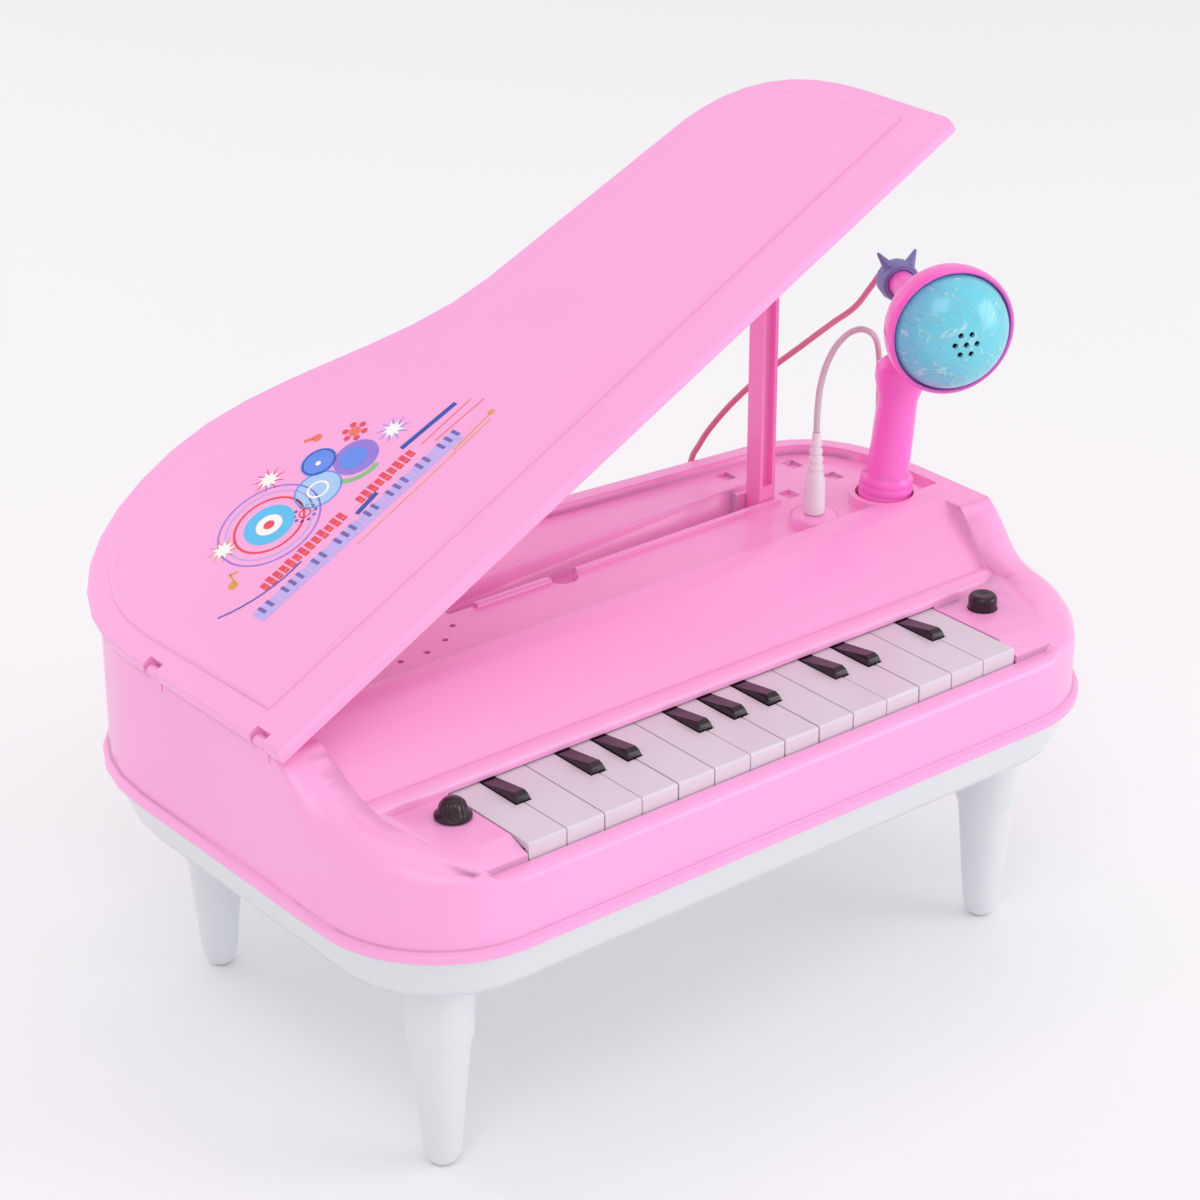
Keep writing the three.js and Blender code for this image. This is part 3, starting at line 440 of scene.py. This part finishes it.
class TOYPIANO_OT_stage(bpy.types.Operator):
    """Camera, soft boxes, pale sky and the pale floor"""

    bl_idname = "toy_piano.stage"
    bl_label = "Stage"

    def execute(self, context):
        scene = context.scene
        camera = bpy.data.cameras.new("studio_camera")
        camera.lens = LENS
        camera.sensor_width = SENSOR
        camera.shift_y = SHIFT_UP
        camera.clip_start, camera.clip_end = CLIP
        holder = bpy.data.objects.new("studio_camera", camera)
        scene.collection.objects.link(holder)
        holder.location = EYE
        holder.rotation_euler = looking(EYE, AIM)
        scene.camera = holder

        for name, place, size, share in SOFT_BOXES:
            lamp = bpy.data.lights.new(name, "AREA")
            lamp.size = size
            lamp.energy = scene.toy_piano.lamp_power * share
            lamp_holder = bpy.data.objects.new(name, lamp)
            scene.collection.objects.link(lamp_holder)
            lamp_holder.location = place
            lamp_holder.rotation_euler = looking(place, LIT_SPOT)

        world = bpy.data.worlds.new("pale_sky")
        world.use_nodes = True
        sky = world.node_tree.nodes["Background"]
        sky.inputs["Color"].default_value = linear("#FDFBFD")
        sky.inputs["Strength"].default_value = SKY_STRENGTH
        scene.world = world
        scene.view_settings.view_transform = "Standard"

        bm = bmesh.new()
        bmesh.ops.create_circle(
            bm, cap_ends=True, segments=96, radius=FLOOR_RADIUS, matrix=Matrix.Translation((0, 0, FLOOR_Z)))
        mesh = bpy.data.meshes.new("studio_floor")
        bm.to_mesh(mesh)
        bm.free()
        # Matt painted board: a clean near-white that only shows the contact shadow
        surface(
            "painted_board_floor", linear("#FBFAFB"), linear("#F9F8FA"), 0.75, peel_mm=3.0, peel_um=10.0,
            flow_mm=300.0)
        mesh.materials.append(bpy.data.materials["painted_board_floor"])
        floor = bpy.data.objects.new("studio_floor", mesh)
        scene.collection.objects.link(floor)
        return {"FINISHED"}


# ---- cord ----

def round_coil(radius, degrees, height):
    """A place round the coil's centre, in metres."""
    turn = math.radians(degrees)
    return COIL_CENTRE[0] + radius * math.cos(turn), COIL_CENTRE[1] + radius * math.sin(turn), height


def coil_points():
    """The coil's points, unwound from the microphone's side: its turns fill two stacks of two."""
    lead, reach, lift = COIL_LEAD
    points = [round_coil(reach, lead, lift)]
    last = len(COIL_SLOTS) - 1
    for i in range(COIL_STEPS + 1):
        gone = i * COIL_TURN_DEGREES / COIL_STEPS
        turn, rest = divmod(gone, 360.0)
        here, after = COIL_SLOTS[min(int(turn), last)], COIL_SLOTS[min(int(turn) + 1, last)]
        share = max(0.0, (rest - 360.0 + COIL_SHIFT_DEGREES) / COIL_SHIFT_DEGREES)
        ease = share * share * (3 - 2 * share)
        radius = here[0] + (after[0] - here[0]) * ease
        height = here[1] + (after[1] - here[1]) * ease
        points.append(round_coil(radius, COIL_START_DEGREES - gone, height))
    return points


class TOYPIANO_OT_cord(bpy.types.Operator):
    """The microphone's cord with its coil, tie and plug"""

    bl_idname = "toy_piano.cord"
    bl_label = "Microphone cord"

    def execute(self, context):
        route = [*CORD_FROM_MIC, *coil_points(), *CORD_TO_PLUG]
        curve = bpy.data.curves.new("mic_cord", "CURVE")
        curve.dimensions = "3D"
        curve.bevel_depth = context.scene.toy_piano.cord_diameter / 2
        curve.bevel_resolution = 3
        curve.resolution_u = 6
        curve.use_fill_caps = True
        spline = curve.splines.new("BEZIER")
        spline.bezier_points.add(len(route) - 1)
        for point, place in zip(spline.bezier_points, route):
            point.co = place
            point.handle_left_type = point.handle_right_type = "AUTO"
        curve.materials.append(bpy.data.materials["extruded_pvc_cord"])
        cord = bpy.data.objects.new("mic_cord", curve)
        context.scene.collection.objects.link(cord)
        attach(cord, "root")
        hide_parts("mic_cord_front", "mic_cord_back", "mic_cord_coil")

        ribs = []
        for i in range(BOOT_RIBS):
            radius, z = BOOT_RIB_FIRST[0] - i * BOOT_RIB_TAPER, BOOT_RIB_FIRST[1] + i * BOOT_RIB_PITCH
            ribs += [(radius, z), (radius - 0.1, z + 1.6), (radius - 0.75, z + 1.8), (radius - 0.75, z + 3.0)]
        boot = turned([
            (0, 141), (1.3, 142), (1.75, 144), (1.75, 159.3), (3.7, 159.3), (4.1, 160.2), (4.2, 163),
            (4.0, 173.5), *ribs, (1.7, 191.4), (1.55, 193), (0, 193)])
        piece(
            "jack_plug_boot", standing(eased(boot, 0.15 * MM), PLUG_PLACE), "root",
            "moulded_pvc_white", ["jack_plug"])
        coat_node("mic_cord_tie", "moulded_rubber_black")
        return {"FINISHED"}


# ---- case ----

class TOYPIANO_OT_case(bpy.types.Operator):
    """Upper shell, base, legs and battery door"""

    bl_idname = "toy_piano.case"
    bl_label = "Case and legs"

    def execute(self, context):
        piece(
            "upper_shell_moulding", copied("upper_shell"), "root", "moulded_abs_pink",
            ["upper_shell"])
        piece(
            "base_tray_moulding", copied("base_tray"), "root", "moulded_abs_white",
            ["base_tray"])
        piece(
            "battery_door_moulding", eased(copied("battery_door"), 0.3 * MM), "battery_door",
            "moulded_abs_white", ["battery_door"])
        for node, at in LEG_PLACES.items():
            leg = turned([
                (0, 0), (2.4, 0), (3.9, 0.5), (5.2, 1.7), (6.1, 3.4), (6.7, 5.6), (7.2, 9), (8.9, 28),
                (10.9, 50), (11.4, 52), (12.0, 53.6), (12.2, 56), (12.6, 81.2), (11.8, 82.2), (8, 82.2),
                (8, 92), (0, 92)])
            piece(
                f"{node}_moulding", standing(leg, at), "root", "moulded_abs_white",
                [node])
        return {"FINISHED"}


# ---- keys and controls ----

class TOYPIANO_OT_keys(bpy.types.Operator):
    """White and black keys with rounded edges"""

    bl_idname = "toy_piano.keys"
    bl_label = "Keys"

    def execute(self, context):
        edge = context.scene.toy_piano.key_round
        for node in sorted(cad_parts):
            if node.startswith("white_key_"):
                piece(
                    f"{node}_moulding", eased(copied(node), edge), node,
                    "moulded_styrene_white", [node])
            elif node.startswith("black_key_"):
                piece(
                    f"{node}_moulding", eased(copied(node), edge * 0.8, 20.0), node,
                    "moulded_styrene_black", [node])
        return {"FINISHED"}


class TOYPIANO_OT_controls(bpy.types.Operator):
    """Fluted volume knob and chamfered power button"""

    bl_idname = "toy_piano.controls"
    bl_label = "Knob and button"

    def execute(self, context):
        knob = turned([
            (0, 118.5), (2.5, 118.5), (2.5, 134.8), (6.4, 134.8), (6.7, 135.1), (6.7, 135.8), (6.3, 136.2),
            (5.5, 136.5), (5.3, 137.2), (5.1, 138.6), (4.7, 139.8), (3.9, 140.9), (2.8, 141.7),
            (1.5, 142.1), (0, 142.2)], KNOB_FLUTES * 6)
        low, high = KNOB_FLUTE_Z
        for vert in knob.verts:
            turn = math.atan2(vert.co.y, vert.co.x)
            if low * MM < vert.co.z < high * MM:
                vert.co.xy *= 1 - KNOB_FLUTE_DEPTH * (0.5 + 0.5 * math.cos(KNOB_FLUTES * turn))
        piece(
            "volume_knob_moulding", standing(knob, KNOB_PLACE), "volume_knob",
            "moulded_styrene_black", ["volume_knob"])
        button = turned([
            (0, 124.6), (4.5, 124.6), (4.5, 129.4), (6.9, 129.4), (6.9, 131), (5.5, 131), (5.5, 138.6),
            (5.3, 139.4), (4.7, 140.1), (3.6, 140.4), (2.2, 140.0), (0, 139.8)])
        piece(
            "power_button_moulding", standing(button, BUTTON_PLACE), "power_button",
            "moulded_styrene_black", ["power_button"])
        return {"FINISHED"}


# ---- lid, its print and its prop ----

def lid_matrix():
    """Turns what is drawn on the closed lid up to where the lid rests."""
    hinge = Vector((HINGE_X * MM, 0, HINGE_Z * MM))
    turn = Matrix.Rotation(-math.radians(LID_DEGREES), 4, "Y")
    return Matrix.Translation(hinge) @ turn @ Matrix.Translation(-hinge)


def on_lid(at, lift=0.0):
    """A place on the closed lid's face, in metres, from millimetres."""
    return Vector((at[0] * MM, at[1] * MM, LID_FACE_Z * MM + lift))


def print_disc(bm, at, radius, thick, segments=40):
    """A printed dot."""
    bmesh.ops.create_cone(
        bm, cap_ends=True, segments=segments, radius1=radius * MM, radius2=radius * MM, depth=thick,
        matrix=Matrix.Translation(on_lid(at, thick / 2)))


def print_arc(bm, at, radius, width, thick, first=0.0, sweep=360.0):
    """A printed ring, or a stretch of one from an angle through a sweep."""
    centre = on_lid(at)
    near, far = radius - width / 2, radius + width / 2
    section = ((near, 0), (far, 0), (far, thick), (near, thick))
    corners = [bm.verts.new(centre + Vector((reach * MM, 0, z))) for reach, z in section]
    edges = [bm.edges.new((corners[i], corners[(i + 1) % 4])) for i in range(4)]
    bmesh.ops.rotate(bm, verts=corners, cent=centre, matrix=Matrix.Rotation(math.radians(first), 3, "Z"))
    full = sweep >= 360.0
    faces = [] if full else [bm.faces.new(corners)]
    bmesh.ops.spin(
        bm, geom=corners + edges + faces, cent=centre, axis=(0, 0, 1), angle=math.radians(sweep),
        steps=max(8, int(sweep / 7.5)), use_merge=full, use_duplicate=False)


def print_star(bm, at, outer, inner, points, thick, turn=0.0):
    """A printed starburst."""
    centre = on_lid(at)
    turned_to = Matrix.Rotation(math.radians(turn), 4, "Z")
    made = bmesh.ops.create_circle(
        bm, cap_ends=True, segments=points * 2, radius=outer * MM,
        matrix=Matrix.Translation(centre) @ turned_to)
    for i, vert in enumerate(made["verts"]):
        if i % 2:
            vert.co = centre + (vert.co - centre) * (inner / outer)
    face = made["verts"][0].link_faces[0]
    raised = bmesh.ops.extrude_face_region(bm, geom=[face])
    tops = [v for v in raised["geom"] if isinstance(v, bmesh.types.BMVert)]
    bmesh.ops.translate(bm, verts=tops, vec=(0, 0, thick))


def print_bar(bm, start, end, width, thick):
    """A printed straight stroke."""
    start, end = on_lid(start, thick / 2), on_lid(end, thick / 2)
    along = end - start
    bmesh.ops.create_cube(
        bm, size=1.0,
        matrix=Matrix.Translation((start + end) / 2)
        @ Matrix.Rotation(math.atan2(along.y, along.x), 4, "Z")
        @ Matrix.Diagonal((along.length, width * MM, thick, 1.0)))


# The print, in millimetres on the closed lid. A layer is a number of ink thicknesses.
FLAT, OVER, TOP = 1.0, 1.6, 2.2
TARGET_AT = (-102.4, 43.5)
RINGLET_AT = (-91.5, 34.6)
PALE_DISC_AT = (-80.9, 39.6)
BLUE_DISC_AT = (-71.2, 51.2)
FLOWER_AT = (-53.4, 50.4)

# Ink, centre, radius, width and layer of each ring; a stretch of a ring adds its first angle and its sweep
RINGS = (
    ("ink_purple", TARGET_AT, 20.2, 0.7, FLAT),
    ("ink_lilac", TARGET_AT, 17.3, 0.7, FLAT),
    ("ink_red", TARGET_AT, 13.8, 1.0, FLAT),
    ("ink_cyan", TARGET_AT, 7.7, 4.6, FLAT),
    ("ink_red", RINGLET_AT, 2.2, 0.6, FLAT),
    ("ink_white", PALE_DISC_AT, 4.0, 0.9, OVER),
    ("ink_blue", PALE_DISC_AT, 9.2, 0.6, OVER),
    ("ink_navy", BLUE_DISC_AT, 6.4, 0.6, TOP),
    ("ink_green", (-63.5, 39.0), 11.4, 2.2, FLAT, 205.0, 80.0),
    ("ink_violet", (-114.0, 70.0), 54.6, 0.9, FLAT, 238.0, 38.0),
)

# Ink, centre, radius, layer and corners of each dot
DOTS = (
    ("ink_white", TARGET_AT, 5.2, FLAT, 40),
    ("ink_red", TARGET_AT, 2.2, OVER, 40),
    ("ink_pale_blue", PALE_DISC_AT, 9.6, FLAT, 40),
    ("ink_purple", (-62.4, 38.6), 9.0, OVER, 40),
    ("ink_blue", (-63.2, 39.4), 5.6, TOP, 40),
    ("ink_blue", BLUE_DISC_AT, 7.2, OVER, 40),
    ("ink_white", (-71.8, 50.8), 1.1, TOP, 20),
    ("ink_coral", FLOWER_AT, 2.4, OVER, 20),
    ("ink_coral", (-62.8, 62.6), 1.9, FLAT, 20),
    ("ink_gold", (-129.4, 31.6), 2.0, FLAT, 20),
    ("ink_gold", (-21.5, 5.2), 1.3, FLAT, 20),
    *(("ink_violet", at, 0.75, FLAT, 12) for at in evenly(RINGLET_AT, 4.2, 10)),
    *(("ink_red", at, 1.35, FLAT, 16) for at in evenly(FLOWER_AT, 4.0, 6)),
)

# Ink, start, end, width and layer of each stroke: a blob's tail, a note, two navy strokes and thin streaks
STROKES = (
    ("ink_coral", (-63.6, 63.6), (-66.8, 66.2), 1.6, FLAT),
    ("ink_gold", (-128.0, 32.0), (-126.6, 37.6), 0.9, FLAT),
    ("ink_gold", (-126.8, 37.2), (-124.0, 35.6), 1.1, FLAT),
    ("ink_navy", (-51.0, 24.6), (-24.6, 22.8), 2.2, FLAT),
    ("ink_navy", (-82.0, 14.2), (-71.0, 15.4), 2.0, TOP),
    ("ink_coral", (-46.0, 18.6), (-20.5, 18.6), 0.5, FLAT),
    ("ink_coral", (-42.0, 14.8), (-18.0, 13.6), 0.5, FLAT),
    ("ink_gold", (-92.0, 1.6), (-24.0, 2.4), 0.4, FLAT),
    ("ink_gold", (-42.0, 3.8), (-22.0, 5.0), 0.6, FLAT),
)

# Bursts: the ink of the rays, the place and the turn; then the outer and inner radius of rays and heart
BURSTS = (
    ("ink_red", (-87.0, 63.2), 8.0),
    ("ink_gold", (-119.8, 50.4), 20.0),
    ("ink_blue", (-45.6, 36.0), 0.0),
)
BURST_RAYS = (6.8, 1.6)
BURST_HEART = (4.6, 2.4)
BURST_POINTS = 9

# Upper row, a level meter of bars, and lower row, a strip of keys
METER_START = (-123.6, 18.9)
METER_PITCH = 3.15
METER_BARS = [i for i in range(24) if i not in (13, 14)]
STRIP_START_X = -133.6
STRIP_PITCH = 3.7
STRIP_KEYS = 27
NO_SHARP_AFTER = (2, 6)


def draw_print(thick):
    """Draws the lid's print, one mesh for each ink: rings, discs and bursts over two rows of bars."""
    inks = {name: bmesh.new() for name in INKS}
    for ink, at, radius, width, layer, *stretch in RINGS:
        print_arc(inks[ink], at, radius, width, thick * layer, *stretch)
    for ink, at, radius, layer, corners in DOTS:
        print_disc(inks[ink], at, radius, thick * layer, corners)
    for ink, at, turn in BURSTS:
        print_star(inks[ink], at, *BURST_RAYS, BURST_POINTS, thick, turn)
        print_star(inks["ink_white"], at, *BURST_HEART, BURST_POINTS, thick * OVER, turn + 10)
    for ink, start, end, width, layer in STROKES:
        print_bar(inks[ink], start, end, width, thick * layer)
    for i in METER_BARS:
        x, y = METER_START[0] + i * METER_PITCH, METER_START[1]
        tall = 2.1 + 0.9 * math.sin(i * 1.9) ** 2
        mark = y - tall * 0.45
        print_bar(inks["ink_red"], (x, y - tall), (x, y + tall), 2.3, thick)
        print_bar(inks["ink_coral"], (x - 0.9, mark), (x + 0.9, mark), 0.8, thick * OVER)
    for i in range(STRIP_KEYS):
        x = STRIP_START_X + i * STRIP_PITCH
        sharp = x + STRIP_PITCH / 2
        print_bar(inks["ink_lilac"], (x, 5.2), (x, 12.0), 3.2, thick)
        if i % 7 not in NO_SHARP_AFTER:
            print_bar(inks["ink_violet"], (sharp, 8.0), (sharp, 12.4), 1.5, thick * OVER)
    return inks


class TOYPIANO_OT_lid(bpy.types.Operator):
    """Lid with its printed decoration and folding prop"""

    bl_idname = "toy_piano.lid"
    bl_label = "Lid, print and prop"

    def execute(self, context):
        piece("lid_moulding", copied("lid"), "lid", "moulded_abs_pink", ["lid"])
        for ink, bm in draw_print(context.scene.toy_piano.print_thickness).items():
            bmesh.ops.recalc_face_normals(bm, faces=bm.faces)
            piece(f"lid_print_{ink[4:]}", moved(bm, lid_matrix()), "lid", ink)
        # The prop wears the case's pink with painted shade in its colour
        piece(
            "prop_stick_moulding", eased(copied("prop_stick"), 0.5 * MM), "prop",
            "moulded_abs_pink_painted_shade", ["prop_stick"])
        return {"FINISHED"}


# ---- microphone ----

def mic_matrix():
    """Turns what is drawn along Z, face down, to where the microphone lies in its clip."""
    axis = (MIC_END - MIC_FACE).normalized()
    side = Vector((0, 0, 1)).cross(axis).normalized()
    rise = axis.cross(side)
    turn = Matrix((side, rise, axis)).transposed().to_4x4()
    return Matrix.Translation(MIC_FACE * MM) @ turn


def dome_shape():
    """The microphone's hollow dome, along Z and face down."""
    turns = [math.radians(90 * i / DOME_RINGS) for i in range(DOME_RINGS + 1)]
    outer = [(DOME_RIM * math.sin(turn), DOME_BASE - DOME_RISE * math.cos(turn)) for turn in turns]
    across, down = (DOME_RIM - DOME_WALL) / DOME_RIM, (DOME_RISE - DOME_WALL) / DOME_RISE
    inner = [(radius * across, DOME_BASE - (DOME_BASE - z) * down) for radius, z in reversed(outer)]
    outer[0], inner[-1] = (0, outer[0][1]), (0, inner[-1][1])
    return turned(outer + inner, 96)


def drill(made, place):
    """Cuts the sound holes through the dome."""
    drills = bmesh.new()
    for x, y in [(0.0, 0.0), *evenly((0.0, 0.0), HOLE_RING, HOLE_COUNT)]:
        bmesh.ops.create_cone(
            drills, cap_ends=True, segments=20, radius1=HOLE_RADIUS * MM, radius2=HOLE_RADIUS * MM,
            depth=HOLE_DEPTH * MM, matrix=place @ Matrix.Translation((x * MM, y * MM, HOLE_MIDDLE_Z * MM)))
    mesh = bpy.data.meshes.new("dome_drills")
    drills.to_mesh(mesh)
    drills.free()
    cutter = bpy.data.objects.new("dome_drills", mesh)
    bpy.context.scene.collection.objects.link(cutter)
    holes = made.modifiers.new("sound_holes", "BOOLEAN")
    holes.operation, holes.solver, holes.object = "DIFFERENCE", "EXACT", cutter
    settle(made, holes)
    bpy.data.objects.remove(cutter)


class TOYPIANO_OT_microphone(bpy.types.Operator):
    """Microphone, its dome with sound holes, tail cap and spring-clip stand"""

    bl_idname = "toy_piano.microphone"
    bl_label = "Microphone and stand"

    def execute(self, context):
        place = mic_matrix()
        shell = turned([
            (0, 12), (7, 12), (13, 9.6), (19, 5.2), (21.3, 1.8), (23.4, 1.8), (23.4, -1.3), (23.8, -1.9),
            (24.4, -2.1), (25.0, -1.4), (25.3, -0.2), (25.4, 1.3), (25.3, 3.2), (24.9, 6.0), (24.1, 8.8),
            (22.8, 11.4), (21.0, 14.2), (18.4, 17.0), (15.2, 19.5), (12.0, 21.4), (9.0, 22.8), (7.0, 23.6),
            (6.1, 24.2), (5.5, 25.0), (5.3, 26.4), (5.3, 61.6), (5.0, 62.1), (3.4, 62.8), (2.8, 63.9),
            (2.2, 65.4), (1.8, 66.0), (0, 66.2)], 96)
        piece(
            "mic_shell_moulding", moved(shell, place), "root", "moulded_abs_hot_pink",
            ["mic_shell"])
        # The dome's paler swirl crests are a painted highlight over real relief
        dome = piece(
            "mic_dome_moulding", moved(dome_shape(), place), "root",
            "turquoise_abs_painted_highlight", ["mic_dome"])
        drill(dome, place)
        piece(
            "mic_tail_cap_moulding", eased(copied("mic_tail_cap"), 0.35 * MM, 35.0), "root",
            "moulded_abs_grey_violet", ["mic_tail_cap"], 50.0)
        piece(
            "mic_stand_moulding", copied("mic_stand"), "root", "moulded_abs_hot_pink",
            ["mic_stand"], 45.0)
        coat_node("mic_capsule", "shaded_hole_black")
        return {"FINISHED"}


# ---- inner parts ----

class TOYPIANO_OT_inside(bpy.types.Operator):
    """Finishes of the parts inside the case and of the pins and screws"""

    bl_idname = "toy_piano.inside"
    bl_label = "Inner parts and pins"

    def execute(self, context):
        finishes = {
            "plated_steel": (
                "case_screw_1", "case_screw_2", "key_axle", "battery_contacts", "lid_hinge_pin_front",
                "lid_hinge_pin_rear", "prop_pivot_pin"),
            "moulded_rubber_black": (
                "key_contact_strip", "volume_potentiometer", "power_switch", "jack_socket"),
            "phenolic_board": ("circuit_board",),
            "pressed_paper_cone": ("speaker",),
            "printed_battery_film": ("battery_1", "battery_2", "battery_3"),
        }
        for material, nodes in finishes.items():
            for node in nodes:
                coat_node(node, material)
        return {"FINISHED"}


class TOYPIANO_PT_panel(bpy.types.Panel):
    """Lists the toy piano's settings and the steps that build it"""

    bl_label = "Toy Piano"
    bl_idname = "TOYPIANO_PT_panel"
    bl_space_type = "VIEW_3D"
    bl_region_type = "UI"
    bl_category = "Toy Piano"

    def draw(self, context):
        settings = context.scene.toy_piano
        for name in ToyPianoSettings.__annotations__:
            self.layout.prop(settings, name)
        for step in STEPS:
            self.layout.operator(step.bl_idname)


STEPS = (
    TOYPIANO_OT_stage, TOYPIANO_OT_cord, TOYPIANO_OT_case, TOYPIANO_OT_keys, TOYPIANO_OT_controls,
    TOYPIANO_OT_lid, TOYPIANO_OT_microphone, TOYPIANO_OT_inside,
)
CLASSES = (ToyPianoSettings, *STEPS, TOYPIANO_PT_panel)


def register():
    for cls in CLASSES:
        bpy.utils.register_class(cls)
    bpy.types.Scene.toy_piano = PointerProperty(type=ToyPianoSettings)


def unregister():
    del bpy.types.Scene.toy_piano
    for cls in reversed(CLASSES):
        bpy.utils.unregister_class(cls)


def main():
    """Builds everything in order."""
    register()
    make_materials()
    for step in STEPS:
        group, name = step.bl_idname.split(".")
        getattr(getattr(bpy.ops, group), name)()


if __name__ == "__main__":
    main()
